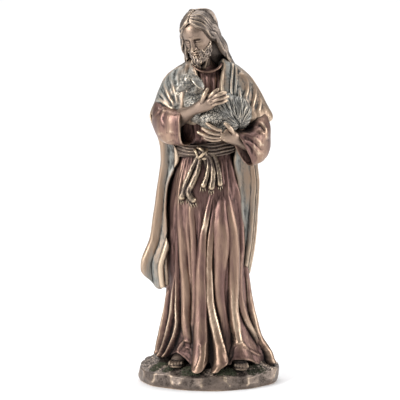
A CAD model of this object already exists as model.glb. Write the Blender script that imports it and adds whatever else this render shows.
# %% [markdown]
# # A shepherd in cold-cast bronze
# The real object is a figurine about 28 cm tall. A sculptor's model was moulded in rubber and cast in resin
# filled with bronze powder. Painters then washed it with dark paint, which stays in the valleys, and rubbed
# gold over it, which stays on the ridges. This lesson rebuilds its surface over a plain solid of the same
# form. Every part of the carving is a grid of points that a short function puts in place, because folds,
# strands and curls are easier to steer as formulas than by pushing single points.

import bmesh
import bpy
import numpy as np
from mathutils import Euler, Matrix, Vector, noise
from mathutils.bvhtree import BVHTree


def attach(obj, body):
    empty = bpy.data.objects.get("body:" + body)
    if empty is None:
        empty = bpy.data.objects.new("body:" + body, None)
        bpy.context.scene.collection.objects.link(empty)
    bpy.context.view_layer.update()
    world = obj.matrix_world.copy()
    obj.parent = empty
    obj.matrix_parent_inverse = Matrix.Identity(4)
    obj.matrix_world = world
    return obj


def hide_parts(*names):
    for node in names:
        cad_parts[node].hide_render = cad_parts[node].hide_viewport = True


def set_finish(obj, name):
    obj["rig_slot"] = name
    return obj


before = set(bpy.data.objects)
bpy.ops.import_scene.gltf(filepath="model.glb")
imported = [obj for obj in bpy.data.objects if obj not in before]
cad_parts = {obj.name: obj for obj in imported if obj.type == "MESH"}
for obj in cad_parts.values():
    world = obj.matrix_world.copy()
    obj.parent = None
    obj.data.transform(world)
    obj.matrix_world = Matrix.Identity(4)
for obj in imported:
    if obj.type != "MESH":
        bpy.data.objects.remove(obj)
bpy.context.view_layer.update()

# %% [markdown]
# ## Numbers that steer the forms
# All sizes here are millimetres in the solid's own frame: +Z is up, the figure faces -Y, and the origin is
# the centre of the base's underside. A table of stations says how wide or deep something is at a few
# heights, and a smooth curve runs between them.

# %% Tools for stations, bells and steps
MM = 0.001
TAU = 2 * np.pi


def read(rows, key):
    """Reads a table of stations [key, value, ...] at an array of keys, along a smooth curve."""
    table = np.array(rows, float)
    keys, values = table[:, 0], table[:, 1:]
    at = np.clip(key, keys[0], keys[-1])
    i = np.clip(np.searchsorted(keys, at, side="right") - 1, 0, len(keys) - 2)
    slopes = np.gradient(values, keys, axis=0) if len(keys) > 2 else np.diff(values, axis=0) / np.diff(keys)
    if len(keys) == 2:
        slopes = np.repeat(slopes, 2, axis=0)
    span = (keys[i + 1] - keys[i])[..., None]
    t = (at - keys[i])[..., None] / span
    ease = t * t * (3 - 2 * t)
    curve = values[i] + (values[i + 1] - values[i]) * ease
    curve += span * (slopes[i] * t * (1 - t) ** 2 - slopes[i + 1] * t * t * (1 - t))
    return [curve[..., column] for column in range(values.shape[1])]


def step(value, low, high):
    t = np.clip((value - low) / (high - low), 0, 1)
    return t * t * (3 - 2 * t)


def bell(value, centre, half):
    return np.exp(-(((value - centre) / half) ** 2))


def ridges(folds, blend):
    """Rounded ridges with sharp valleys between. Each fold is (distance from here, half width, rise)."""
    total = 1.0
    for at, half, rise in folds:
        u = np.minimum(abs(at / half), 1.7)
        total = total + np.exp(rise * (1 - u * u) / blend) - np.exp(-1.89 * rise / blend)
    return blend * np.log(total)


def unit(vectors):
    return vectors / np.maximum(np.linalg.norm(vectors, axis=-1, keepdims=True), 1e-12)


def stack(x, y, z):
    return np.stack(np.broadcast_arrays(x, y, z), -1)


def grain(points, size, seed=0.0):
    """Smooth noise between about -1 and 1, with lumps of the given size in millimetres."""
    scaled = (np.asarray(points) / size + seed).reshape(-1, 3)
    return np.array([noise.noise(p) for p in scaled.tolist()]).reshape(np.shape(points)[:-1])


# %% [markdown]
# ## From a flat grid to a closed form
# `bmesh.ops.create_grid` makes the faces, and a function of two shares, `u` round the form and `v` along it,
# gives each point its place. Where the two sides of the grid meet, the doubles are merged, and the normals
# are then turned outwards.

# %% Grid helpers
def grid_mesh(columns, rows, place):
    """A closed mesh from a grid whose points place(u, v) gives in millimetres."""
    shape = bmesh.new()
    bmesh.ops.create_grid(shape, x_segments=columns, y_segments=rows, size=0.5)
    mesh = bpy.data.meshes.new("grid")
    shape.to_mesh(mesh)
    shape.free()
    flat = np.empty(len(mesh.vertices) * 3, np.float32)
    mesh.vertices.foreach_get("co", flat)
    shares = flat.reshape(-1, 3).astype(float) + 0.5
    placed = place(np.clip(shares[:, 0], 0, 1), np.clip(shares[:, 1], 0, 1)) * MM
    mesh.vertices.foreach_set("co", placed.astype(np.float32).ravel())
    return welded([mesh])


def welded(meshes, distance=2e-6):
    """Joins meshes, merges their doubles and turns the faces outwards."""
    shape = bmesh.new()
    for mesh in meshes:
        shape.from_mesh(mesh)
        bpy.data.meshes.remove(mesh)
    bmesh.ops.remove_doubles(shape, verts=shape.verts, dist=distance)
    bmesh.ops.dissolve_degenerate(shape, edges=shape.edges, dist=1e-7)
    bmesh.ops.recalc_face_normals(shape, faces=shape.faces)
    if shape.calc_volume(signed=True) < 0:
        bmesh.ops.reverse_faces(shape, faces=shape.faces)
    made = bpy.data.meshes.new("welded")
    shape.to_mesh(made)
    shape.free()
    return made


def joined(meshes):
    """Puts meshes into one without touching their points."""
    shape = bmesh.new()
    for mesh in meshes:
        shape.from_mesh(mesh)
        bpy.data.meshes.remove(mesh)
    made = bpy.data.meshes.new("joined")
    shape.to_mesh(made)
    shape.free()
    return made


def points_of(mesh):
    """Places and normals of a mesh's points, in millimetres."""
    places = np.empty(len(mesh.vertices) * 3, np.float32)
    normals = np.empty(len(mesh.vertices) * 3, np.float32)
    mesh.vertices.foreach_get("co", places)
    mesh.vertices.foreach_get("normal", normals)
    return places.reshape(-1, 3).astype(float) / MM, normals.reshape(-1, 3).astype(float)


def raise_points(mesh, height):
    """Moves each point out along its normal by height(places, normals) millimetres."""
    places, normals = points_of(mesh)
    moved = (places + normals * height(places, normals)[:, None]) * MM
    mesh.vertices.foreach_set("co", moved.astype(np.float32).ravel())
    mesh.update()
    return mesh


PIECES = []
RECENTRED = (-0.2, 0.48, 0)  # the solid was centred on its own outline after it was modelled


def piece(name, mesh, slot, relief=None):
    """A finished piece, with its fine relief raised, that rides on the figure's one body."""
    if relief:
        raise_points(mesh, relief)
    mesh.name = name
    mesh.transform(Matrix.Translation(Vector(RECENTRED) * MM))
    mesh.shade_smooth()
    made = bpy.data.objects.new(name, mesh)
    bpy.context.collection.objects.link(made)
    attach(made, "root")
    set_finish(made, slot)
    PIECES.append(made)
    print(name, "has", len(mesh.polygons), "faces")
    return made


def tree_of(made):
    """A search tree over a piece's faces."""
    corners = [v.co.copy() for v in made.data.vertices]
    return BVHTree.FromPolygons(corners, [p.vertices[:] for p in made.data.polygons])


def met(tree, place, way):
    """The place, in metres, where a ray from a place in millimetres meets a tree."""
    return tree.ray_cast((Vector(place) + Vector(RECENTRED)) * MM, Vector(way))[0]


# %% [markdown]
# ## Limbs
# Arms, fingers, locks of hair and the sash's tails are all one kind of form: elliptical rings threaded on a
# smooth curve. The curve is a centripetal Catmull-Rom spline, which never overshoots between close points.

# %% Curves and limbs
def route(points):
    """A function that gives places and directions at shares of a smooth curve's length."""
    p = np.array(points, float)
    p = np.vstack([2 * p[0] - p[1], p, 2 * p[-1] - p[-2]])
    samples = []
    for i in range(1, len(p) - 2):
        gaps = [max(np.linalg.norm(p[i + k] - p[i + k - 1]) ** 0.5, 1e-4) for k in (0, 1, 2)]
        a = (p[i] - p[i - 1]) / gaps[0] - (p[i + 1] - p[i - 1]) / (gaps[0] + gaps[1])
        b = (p[i + 1] - p[i]) / gaps[1]
        c = (p[i + 2] - p[i + 1]) / gaps[2] - (p[i + 2] - p[i]) / (gaps[1] + gaps[2])
        start, end = (a + b) * gaps[1], (b + c) * gaps[1]
        t = np.linspace(0, 1, 24, endpoint=i == len(p) - 3)[:, None]
        samples.append(
            (2 * t**3 - 3 * t**2 + 1) * p[i]
            + (t**3 - 2 * t**2 + t) * start
            + (3 * t**2 - 2 * t**3) * p[i + 1]
            + (t**3 - t**2) * end
        )
    line = np.vstack(samples)
    length = np.concatenate([[0], np.cumsum(np.linalg.norm(np.diff(line, axis=0), axis=1))])
    share = length / length[-1]
    along = unit(np.gradient(line, share, axis=0))

    def at(v):
        place = np.stack([np.interp(v, share, line[:, k]) for k in range(3)], -1)
        heading = unit(np.stack([np.interp(v, share, along[:, k]) for k in range(3)], -1))
        return place, heading

    return at


def limb(points, rings, around=24, levels=24, up=(0, 0, 1), relief=None, twist=0.0):
    """A round-ended tube along a curve. Rings are stations [share of length, half across, half up]."""
    at = route(points)
    reach = sum(np.linalg.norm(np.subtract(b, a)) for a, b in zip(points, points[1:]))
    tips = [min(0.45, 0.5 * (rings[k][1] + rings[k][2]) / reach) for k in (0, -1)]

    def place(u, v):
        tilt = np.pi * v
        share = 0.5 - 0.5 * np.cos(tilt) * (1 - 0.55 * np.sin(tilt) ** 2)
        near = np.clip(share / tips[0], 0, 1)
        far = np.clip((1 - share) / tips[1], 0, 1)
        closing = np.sqrt(np.clip(near * (2 - near), 0, 1) * np.clip(far * (2 - far), 0, 1))
        centre, along = at(share)
        wide, high = read(rings, share)
        above = up(centre) if callable(up) else np.broadcast_to(np.array(up, float), centre.shape)
        across = unit(np.cross(along, above))
        rise = np.cross(across, along)
        turn = TAU * u + twist * share
        out = 1 + (relief(turn, share) if relief else 0)
        side = (closing * wide * out * np.sin(turn))[:, None] * across
        return centre + side + (closing * high * out * np.cos(turn))[:, None] * rise

    return grid_mesh(around, levels, place)


def lump(centre, radii, turns=(0, 0, 0), around=32, levels=20):
    """An ellipsoid turned by Euler angles in degrees, about Z first, then Y and X."""
    spin = np.array(Euler(np.radians(turns), "ZYX").to_matrix())

    def place(u, v):
        turn, tilt = TAU * u, np.pi * v
        ball = stack(np.sin(tilt) * np.cos(turn), np.sin(tilt) * np.sin(turn), np.cos(tilt))
        return (ball * np.array(radii)) @ spin.T + np.array(centre)

    return grid_mesh(around, levels, place)


def fused(meshes, voxel, smoothing):
    """Melts overlapping meshes into one skin: a voxel remesh in millimetres, then smoothing."""
    holder = bpy.data.objects.new("holder", joined(meshes))
    bpy.context.collection.objects.link(holder)
    remesh = holder.modifiers.new("skin", "REMESH")
    remesh.mode = "VOXEL"
    remesh.voxel_size = voxel * MM
    relax = holder.modifiers.new("relax", "SMOOTH")
    relax.iterations = smoothing
    relax.factor = 0.5
    skin = bpy.data.meshes.new_from_object(holder.evaluated_get(bpy.context.evaluated_depsgraph_get()))
    bpy.data.objects.remove(holder)
    return skin


# %% [markdown]
# ## Strokes
# A sculptor draws a fold with one pull of the tool. `brush` does the same: each stroke is a line of points
# with a half width and a rise at both of its ends, and it dies away at its tips. Where strokes meet, the
# valley between them stays sharp.

# %% The brush
def brush(spots, strokes, blend=0.3, tips=0.16):
    """Relief at flat places (N, 2). A stroke is (half widths, rises, points); each pair is start and end."""
    total = np.ones(len(spots))
    for half, rise, line in strokes:
        trace = route([(*p, 0) for p in line])(np.linspace(0, 1, 12))[0][:, :2]
        reach = 1.7 * max(half)
        near = np.all((spots > trace.min(0) - reach) & (spots < trace.max(0) + reach), axis=1)
        if not near.any():
            continue
        start, run = trace[:-1], np.diff(trace, axis=0)
        from_start = spots[near][:, None] - start
        along = np.clip((from_start * run).sum(-1) / (run**2).sum(-1), 0, 1)
        gaps = np.linalg.norm(from_start - along[..., None] * run, axis=-1)
        closest = gaps.argmin(1)
        picked = np.arange(len(closest))
        share = (closest + along[picked, closest]) / len(start)
        u = np.minimum(gaps[picked, closest] / (half[0] + (half[1] - half[0]) * share), 1.7)
        height = (rise[0] + (rise[1] - rise[0]) * share) * step(share, 0, tips) * step(1 - share, 0, tips)
        total[near] += np.exp(height * (1 - u * u) / blend) - np.exp(-1.89 * height / blend)
    return blend * np.log(total)


# %% [markdown]
# ## The ground
# He stands on a round of rock with a steep, chipped side and a low mound on top. The side's chips are tilted
# planes, and at each place only the lowest plane shows, so the edges between them stand proud. Those edges
# later catch the rubbed gold, as they do on the real cast.

# %% Rocky ground
BASE_HALF_WIDTH = 51
BASE_HALF_DEPTH = 46
BASE_EDGE = 9.6
GROUND = 17
CHIP_RADIUS = 49
BASE_ROUND = TAU * CHIP_RADIUS
CHIPS = 38
CHIP_EDGE = 0.09  # how round the edges between chips are
chance = np.random.default_rng(11)
BASE_PROFILE = [
    [0, 0, 0], [0.1, 0.985, 0], [0.13, 1, 0.8], [0.24, 1.012, 4], [0.39, 1.0, BASE_EDGE - 0.9],
    [0.42, 0.984, BASE_EDGE - 0.1], [0.5, 0.92, BASE_EDGE + 1.2], [0.6, 0.82, BASE_EDGE + 4.8],
    [0.74, 0.6, GROUND - 0.8], [1, 0, GROUND],
]
chips = [
    (
        BASE_ROUND * (k + chance.uniform(-0.4, 0.4)) / CHIPS,
        chance.uniform(1, 10),
        chance.uniform(0.2, 1.2),
        chance.uniform(-0.22, 0.22),
        chance.uniform(-0.26, 0.16),
    )
    for k in range(CHIPS)
]


def chipped(arc, z):
    height = np.zeros(arc.shape)
    for at, level, out, aside, upward in chips:
        away = (arc - at + BASE_ROUND / 2) % BASE_ROUND - BASE_ROUND / 2
        plane = out + aside * away + upward * (z - level) + 0.02 * away**2 + 0.03 * (z - level) ** 2
        height += np.exp(-np.minimum(plane, 6) / CHIP_EDGE)
    return np.minimum(-CHIP_EDGE * np.log(height), 2.2)


def base_place(u, v):
    turn = TAU * u
    out, z = (np.interp(v, *np.array(BASE_PROFILE).T[[0, column]]) for column in (1, 2))
    rough = 1 + 0.012 * np.sin(5 * turn + 1) + 0.008 * np.sin(12 * turn) - 0.008
    sides = 2.3 * (1 - np.cos(turn)) * out**2
    wave = step(z, 2, 7) * (0.6 * np.sin(7 * turn) * out + 0.4 * np.sin(3 * turn + 2) + sides)
    side = step(z, 0.5, 4.5) * (1 - step(z, BASE_EDGE - 0.8, BASE_EDGE + 2.5))
    rock = side * (chipped(turn * CHIP_RADIUS, z) - 0.7)
    wide = BASE_HALF_WIDTH * out * rough + rock
    deep = BASE_HALF_DEPTH * out * rough + rock
    return stack(wide * np.sin(turn), -deep * np.cos(turn), z + wave)


def base_relief(places, normals):
    top = step(places[:, 2], BASE_EDGE - 1, BASE_EDGE + 2) * step(normals[:, 2], 0.3, 0.8)
    side = step(places[:, 2], 0.5, 2.5) * (1 - top)
    soil = 0.6 * grain(places, 4.5) + 0.9 * grain(places, 1.7, 3) ** 2 + 0.4 * grain(places, 1.0, 5)
    stone = 0.2 * grain(places, 3.4, 8) + 0.06 * grain(places, 1.1, 9)
    return top * soil + side * stone


base = piece("base_rock", grid_mesh(230, 130, base_place), "rock_bronze", base_relief)

# %% [markdown]
# ## The robe
# A robe hangs from the shoulders, is gathered at the waist by the sash, and falls to the ground in long
# folds. In the real cast its hem is undercut: the cloth curls forward over each foot and leaves a dark
# hollow behind it. So the grid starts on the inside, turns round the hem's lip, climbs the outside to the
# collar and rolls over into the neck.

# %% Robe stations and skirt folds
HEM_Z = 9
NECK_Z = 236
WAIST_Z = 170
ROBE = [
    [HEM_Z, 3, 0, 42, 37.5], [20, 2.5, 0, 40, 35], [30, 1, 0, 36, 31.5], [50, 0, 0.5, 32, 27.5],
    [80, -1, 0.5, 29.5, 24.5], [110, -2, 0.5, 28.5, 22.5], [135, -3, 0, 26.8, 20.5],
    [155, -2.5, 0, 23.5, 17.5], [WAIST_Z - 2, -2, 0, 20.5, 15], [WAIST_Z + 8, -2, 0, 22, 16.5],
    [195, -2, 0, 24.5, 17.5], [212, -2.5, 0.5, 25, 16], [224, -3, 1, 20, 13], [231, -3.6, 1, 13, 11],
    [NECK_Z, -5, 0, 8.8, 9],
]
# Each fold of the skirt's front is a line of stations [z, x, half width, rise], from the hem up.
SKIRT_FOLDS = [
    [[21, -38.4, 2.2, 4.6], [28, -38.6, 2, 5.4], [37, -36.3, 1.8, 5.4], [46, -33.6, 1.8, 4.4],
     [60, -32.3, 1.8, 3], [69, -31.5, 1.8, 2]],
    [[20, -34.6, 1.6, 5], [29, -31.4, 1.5, 5], [39, -28.9, 1.4, 4.8], [51, -27, 1.4, 4],
     [69, -26.1, 1.4, 2.5], [84, -25.4, 1.4, 1]],
    [[20, -31, 1.5, 5.6], [27, -27.4, 1.4, 5.6], [37, -23.9, 1.4, 5.2], [46, -22.4, 1.5, 4.8],
     [58, -23, 1.6, 4], [76, -23.6, 1.8, 2.5], [107, -24.3, 1.5, 1]],
    [[25, -15.5, 2, 0], [31, -15.5, 2.2, 1.5], [38, -15.7, 2.4, 4], [46, -16.6, 2.8, 4.5],
     [59, -17.2, 3, 4], [74, -17.6, 3, 3.4], [89, -19.3, 3, 2.8], [107, -20.3, 3, 2.4],
     [122, -21.4, 2.6, 1.8], [136, -21.6, 2, 1.5], [155, -19.6, 1.5, 1]],
    [[31, -11.8, 1.8, 1], [42, -11.1, 1.8, 2.2], [71, -9.9, 1.7, 2.4], [90, -10.8, 1.6, 2.2],
     [108, -11.3, 1.5, 1.8], [123, -12.5, 1.4, 1.4], [138, -13.5, 1.2, 0.5]],
    [[12, -7, 4, 8.6], [21, -6.2, 4.4, 7.6], [30, -5.6, 4.4, 7], [47, -5.6, 4, 7], [60, -5.3, 3.6, 6.4],
     [78, -5.6, 3.2, 5.6], [96, -5, 2.6, 4.6], [111, -4.1, 1.8, 3.6], [121, -2.2, 1.4, 3],
     [133, 0.1, 1.2, 2], [142, 2.5, 1, 0.8]],
    [[12, 5.8, 3.4, 8.6], [18, 8.6, 3.6, 7.6], [26, 8.1, 3, 7.2], [33, 6.9, 2.6, 6.6], [43, 4.6, 2.2, 6],
     [60, 1.2, 1.8, 5], [76, 0.2, 1.6, 4], [93, 0.2, 1.5, 3.2], [111, 1.5, 1.3, 2.4],
     [125, 3.5, 1.1, 1.4], [130, 4.4, 1, 0.6]],
    [[34, 15.5, 3, 0.5], [45, 12.5, 3, 1.6], [59, 9.2, 2.8, 2.8], [74, 7.8, 3, 3.4], [90, 8.5, 3.8, 4],
     [101, 9.2, 4.8, 4.4], [111, 9.4, 5.4, 4.6], [121, 8.6, 5, 4.2], [134, 9.6, 3.2, 2.4],
     [140, 11.1, 2, 0.8]],
    [[17, 26, 10, 5], [25, 24, 7.6, 4.6], [32, 21.3, 2.6, 5.8], [46, 18.9, 2.2, 5.6], [59, 17.8, 2.4, 5],
     [74, 18, 3, 4.8], [89, 18.2, 4, 4.8], [108, 17.2, 5, 4.9], [122, 15.6, 4.6, 4.4],
     [132, 14.4, 3.6, 3.2], [149, 12.5, 1.6, 0.6]],
    [[16, 42.6, 2.6, 0.4], [24, 39, 2.4, 1.4], [31, 35.4, 2.2, 3], [43, 29.5, 2.2, 3.4],
     [53, 26, 2.6, 3], [70, 23.4, 3, 2.8], [84, 23.8, 2.8, 2.4], [102, 25.1, 2.8, 2.6],
     [118, 24.8, 2.6, 2.4], [134, 22.8, 2.4, 2], [149, 19.6, 2.2, 1.4], [163, 15.5, 1.6, 0.8]],
    [[15, 46, 3.2, 7], [22, 41, 3.2, 7], [31, 36.2, 3.2, 6], [46, 33.7, 3, 5], [61, 31.4, 2.8, 4],
     [74, 30, 2.6, 3], [97, 30.2, 2, 1]],
]
BACK_FOLDS = 9

# Finer folds are strokes seen from the front: (half widths, rises, points [x, z]).
ROBE_STROKES = [
    # The chest, between the lapels.
    ((1.5, 1.3), (0.9, 0.8), [(-6, 234), (-4.4, 222), (-3.6, 206)]),
    ((1.3, 1.5), (0.7, 0.9), [(-1, 231), (0, 220), (0.6, 205)]),
    ((1.4, 1.4), (1.0, 0.9), [(4.6, 234), (4.8, 220), (4.4, 206)]),
    ((1.2, 1.2), (0.8, 0.7), [(8, 235), (8.2, 222), (7.8, 208)]),
    # The cloth bulges over the sash.
    ((1.8, 2), (1.2, 1.5), [(-11, 196), (-10, 186), (-9, 179)]),
    ((1.6, 2), (1.1, 1.6), [(-6, 193), (-5, 186), (-4, 179.5)]),
    ((1.6, 2), (1.0, 1.4), [(-1, 190), (0, 185), (0.5, 179.5)]),
    ((1.6, 2), (0.9, 1.2), [(5, 189), (5, 184), (5.5, 179)]),
    ((1.8, 2), (1.0, 1.2), [(11, 188), (11, 183), (11, 178)]),
    # Gathers under the sash.
    ((0.9, 1.6), (0.9, 0.9), [(-19.5, 168), (-22, 152), (-25, 128)]),
    ((0.8, 1.3), (0.9, 0.7), [(-17.4, 169), (-19.8, 154), (-22, 134)]),
    ((0.7, 1.0), (0.7, 0.5), [(-15, 169), (-17, 158), (-18.4, 148)]),
    ((0.6, 0.8), (0.6, 0.4), [(-12.6, 169), (-13.6, 162), (-14.8, 156)]),
    ((0.6, 0.7), (0.5, 0.3), [(-10.4, 168), (-11, 164), (-12, 160)]),
    ((0.8, 1.3), (0.9, 0.8), [(9, 168), (10, 158), (10.4, 147)]),
    ((1.0, 1.9), (1.2, 1.3), [(12, 168), (13.6, 156), (14, 140)]),
    ((0.9, 1.6), (0.9, 0.9), [(15, 168), (17.4, 154), (20, 136)]),
    ((0.8, 1.6), (0.8, 0.8), [(17, 168), (20, 154), (23.6, 132)]),
    # Long slack folds over the thighs.
    ((1.2, 1.6), (0.8, 0.9), [(-27.6, 118), (-29, 96), (-30, 76)]),
    ((0.9, 0.9), (0.8, 0.7), [(-6.4, 131), (-6.8, 114), (-8, 98), (-8.4, 84)]),
    ((0.8, 0.9), (0.7, 0.7), [(-24.6, 140), (-26, 122), (-26.4, 100)]),
    ((1.0, 1.0), (0.7, 0.6), [(-16.4, 122), (-15.2, 104), (-13.8, 84), (-13.6, 64)]),
    ((0.9, 1.1), (0.4, 0.6), [(14, 116), (13.4, 100), (13, 84), (13.2, 66)]),
    ((1.2, 1.0), (0.8, 0.6), [(21.4, 116), (21, 96), (21.2, 78)]),
    ((1.0, 1.2), (0.7, 0.7), [(28.4, 92), (27.6, 74), (28.2, 56)]),
    # The cloth breaks over the right foot's instep, and forks over the left foot.
    ((1.2, 1.3), (1.2, 1.1), [(-24.4, 24), (-20.8, 30.4), (-16.4, 33.6), (-12, 31.6)]),
    ((0.9, 1.0), (0.9, 0.8), [(-20.8, 25), (-16.6, 28.6), (-12.8, 27.4), (-10.4, 21)]),
    ((1.0, 0.8), (1.2, 0.9), [(21.3, 34), (18, 28), (16.2, 21)]),
    ((1.0, 1.0), (1.2, 1.0), [(21.6, 34), (24, 29.4), (32, 24.4), (41, 18.6)]),
    # The lobes between the feet roll over to his left.
    ((0.8, 1.0), (0.9, 1.2), [(-4.6, 34), (-4.4, 24), (-6.4, 13.4)]),
    ((0.8, 1.0), (0.9, 1.2), [(7.4, 34), (10.6, 24), (12.6, 18.6)]),
]


def back_rise(z, hem_rise):
    return hem_rise * read([[HEM_Z, 1], [40, 0.85], [90, 0.6], [140, 0.35], [166, 0.18]], z)[0]


# %% Robe surface
def robe_relief(turn, z):
    cx, cy, wide, deep = read(ROBE, z)
    reach = (wide + deep) / 2
    spread = reach / 38
    folds = []
    for line in SKIRT_FOLDS:
        x, half, rise = read(line, z)
        there = np.arcsin(np.clip((x - cx) / wide, -0.985, 0.985))
        away = np.where(np.cos(turn) > -0.2, turn - there, 9)
        folds.append((away * reach, half, rise * step(line[-1][0] + 6 - z, 0, 12)))
    for i in range(BACK_FOLDS):
        there = np.radians(100 + 160 * (i + 0.5) / BACK_FOLDS) + 0.06 * np.sin(5 * i)
        away = np.arctan2(np.sin(turn - there), np.cos(turn - there))
        folds.append((away * reach, 6.6 * spread, (z < 172) * back_rise(z, 5 + np.sin(3 * i))))
    knee = 2.6 * np.exp(-(((turn - 0.5) / 0.34) ** 2) - ((z - 108) / 34) ** 2)
    thigh = 1.8 * np.exp(-(((turn + 0.55) / 0.4) ** 2) - ((z - 128) / 32) ** 2)
    drawn = brush(np.stack([cx + wide * np.sin(turn), z], -1), ROBE_STROKES) * step(np.cos(turn), 0, 0.3)
    lip = 0.7 * bell(z - hem_height(turn), 0.4, 1.3)
    return ridges(folds, 0.45) - 1.4 + knee + thigh + drawn + lip


def robe_skin(turn, z):
    """The robe's outside. Flanks of a fold lean outwards, so the valleys are narrow and undercut."""
    turn = np.arctan2(np.sin(turn), np.cos(turn))
    cx, cy, wide, deep = read(ROBE, z)
    reach = (wide + deep) / 2
    relief = robe_relief(turn, z)
    slope = (robe_relief(turn + 0.01, z) - robe_relief(turn - 0.01, z)) / (0.02 * reach)
    lean = np.clip(slope, -1.6, 1.6) * np.interp(z, [10, 30, 120, 170], [1.3, 1.1, 0.6, 0])
    lean = lean * (1 - 0.9 * step(-np.sin(turn), 0.45, 0.75))
    leaning = turn - lean / reach
    return stack(cx + (wide + relief) * np.sin(leaning), cy - (deep + relief) * np.cos(leaning), z)


HEM_LINE = [
    [-40, 20.6], [-36, 20.2], [-32.5, 19.8], [-30, 20.6], [-27.5, 22.6], [-25, 23.8], [-21.5, 23],
    [-17.5, 20.8], [-14, 18], [-9, 15], [-6.4, 12.6], [-4.6, 15.4], [-2.4, 18.6], [1.2, 19], [3.2, 13.6],
    [5.4, 12.8], [8, 16], [12.4, 19], [14.6, 17], [16.4, 17.4], [18, 19.6], [20.8, 20.6], [27, 19.8],
    [34, 15.6], [39, 12.8], [45, 13.4],
]


def hem_height(turn):
    """The hem lifts in an arch over each foot and rests on the ground elsewhere."""
    front = step(np.cos(turn), -0.1, 0.2)
    return 15 + (read(HEM_LINE, 3 + 40 * np.sin(turn))[0] - 15) * front


# At these shares of the grid, from the middle of the underside to the inside of the neck, the robe's skin is
# drawn in to the middle by a part of the way, rolled inwards and lifted, the last two in mm.
RIM = [0, 0.045, 0.055, 0.065, 0.07, 0.97, 0.978, 0.986, 0.992, 1]
RIM_INSIDE = [1, 0, 0, 0, 0, 0, 0, 0, 0, 1]
RIM_ROLL = [1.8, 1.6, 1.1, 0.3, 0, 0, 0.6, 1.5, 2, 2]
RIM_LIFT = [0, 0.9, 0, 0, 0.5, 0, 0.7, 0.4, -4, -6]


def robe_place(u, v):
    even = TAU * (u - 0.5)
    turn = even - 0.42 * np.sin(even)
    hem = hem_height(turn)
    up = np.interp(v, [0.07, 0.2, 0.46, 0.74, 0.84, 0.97], [0, 0.07, 0.3, 0.69, 0.8, 1])
    z = hem + (NECK_Z - hem) * up
    neckline = 3 * step(z, 224, NECK_Z) * np.cos(turn)
    skin = robe_skin(turn, z)
    cx, cy = read(ROBE, z)[:2]
    inward = unit(stack(cx - skin[:, 0], cy - skin[:, 1], 0 * z))
    inside, roll, lift = (np.interp(v, RIM, there) for there in (RIM_INSIDE, RIM_ROLL, RIM_LIFT))
    placed = skin + inward * roll[:, None]
    placed[:, 2] += lift - neckline
    centre = stack(cx, cy, np.where(v < 0.5, 14.0, placed[:, 2]))
    return placed + (centre - placed) * inside[:, None]


def robe_grain(places, normals):
    streaks = grain(places * [0.8, 0.8, 0.05], 1.0, 2)
    crumpled = grain(places * [1, 1, 0.3], 4.0, 9)
    return 0.13 * streaks * step(places[:, 2], 12, 30) + 0.28 * crumpled + 0.05 * grain(places, 1.4, 7)


robe = piece("robe", grid_mesh(300, 250, robe_place), "robe_bronze", robe_grain)
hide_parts("figurine")

# %% The rolled collar
COLLAR = [
    (9.4, 4, 238.6), (10.4, -2, 237.4), (8.4, -8, 234.4), (4, -11.6, 231.8),
    (-2, -12.6, 230.8), (-8, -11, 232.4), (-12.4, -6, 235.6), (-13, 0, 237.4),
]
collar_mesh = limb(COLLAR, [[0, 0.9, 0.8], [0.5, 1.0, 0.9], [1, 0.9, 0.8]], 20, 90, (0, -0.4, 1))
piece("robe_collar", collar_mesh, "robe_bronze", robe_grain)

# %% [markdown]
# ## Sheets with rolled edges
# The mantle is a sheet of cast cloth about 2.4 mm thick. A grid makes it closed when its columns run over
# the outside, round the far edge, back along the inside and round the near edge. At the top and the hem the
# two sides are pinched together over a few rows, so every edge is round and catches light.

# %% A closed sheet
CLOTH = 2.4


def sheet(columns, rows, rim, size, surface):
    """surface(share, down, side) places the sheet's two sides; size is its rough width and height in mm."""
    loop = 2 * (columns + rim)

    def place(u, v):
        k = u * loop
        ahead = (np.clip(k, 0, columns) - np.clip(k - columns - rim, 0, columns)) / columns
        far = np.clip(k - columns, 0, rim) / rim * np.pi
        near = np.clip(k - 2 * columns - rim, 0, rim) / rim * np.pi
        lip = rim / rows
        top = np.clip((lip - v) / lip, 0, 1) * np.pi / 2
        hem = np.clip((v - 1 + lip) / lip, 0, 1) * np.pi / 2
        thin = np.cos(top + hem)
        share = ahead + (np.sin(far) - np.sin(near)) * thin * CLOTH / 2 / size[0]
        down = np.clip((v - lip) / (1 - 2 * lip), 0, 1) + (np.sin(hem) - np.sin(top)) * CLOTH / 2 / size[1]
        return surface(share, down, np.cos(far + near) * thin)

    return grid_mesh(loop, rows, place)


# %% [markdown]
# ## The mantle
# The mantle is a large square of cloth laid over both shoulders. It falls behind him to mid calf, and its
# two front parts hang over the upper arms like short capes, with their lapels beside the collar. The folds
# fan out from the shoulders, where the weight hangs.

# %% Mantle stations and folds
MANTLE_HEM_Z = 64
MANTLE_TOP = 238.5
# Stations are [z, x of its left side, x of its right side, back depth, front depth].
MANTLE = [
    [MANTLE_HEM_Z - 6, -41, 30, 30, 12.5], [75, -46, 27.6, 29, 12.5], [86, -47.4, 30, 28, 12],
    [105, -41.4, 33, 26.5, 10.5], [130, -38, 35, 24.5, 9], [147, -36, 36, 23, 8], [165, -34, 35, 22, 8],
    [180, -36, 38, 21, 10], [189, -40, 42, 20.5, 15], [196, -42.5, 45, 20, 23],
    [207, -39.5, 41, 19, 22.5], [219, -35.2, 34.6, 17, 19], [226, -31, 30, 15.5, 14.5],
    [231, -25, 24, 13.5, 12], [235, -18.5, 18.6, 11.5, 10.4], [238.5, -14.5, 12.8, 9.5, 8.8],
]
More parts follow.
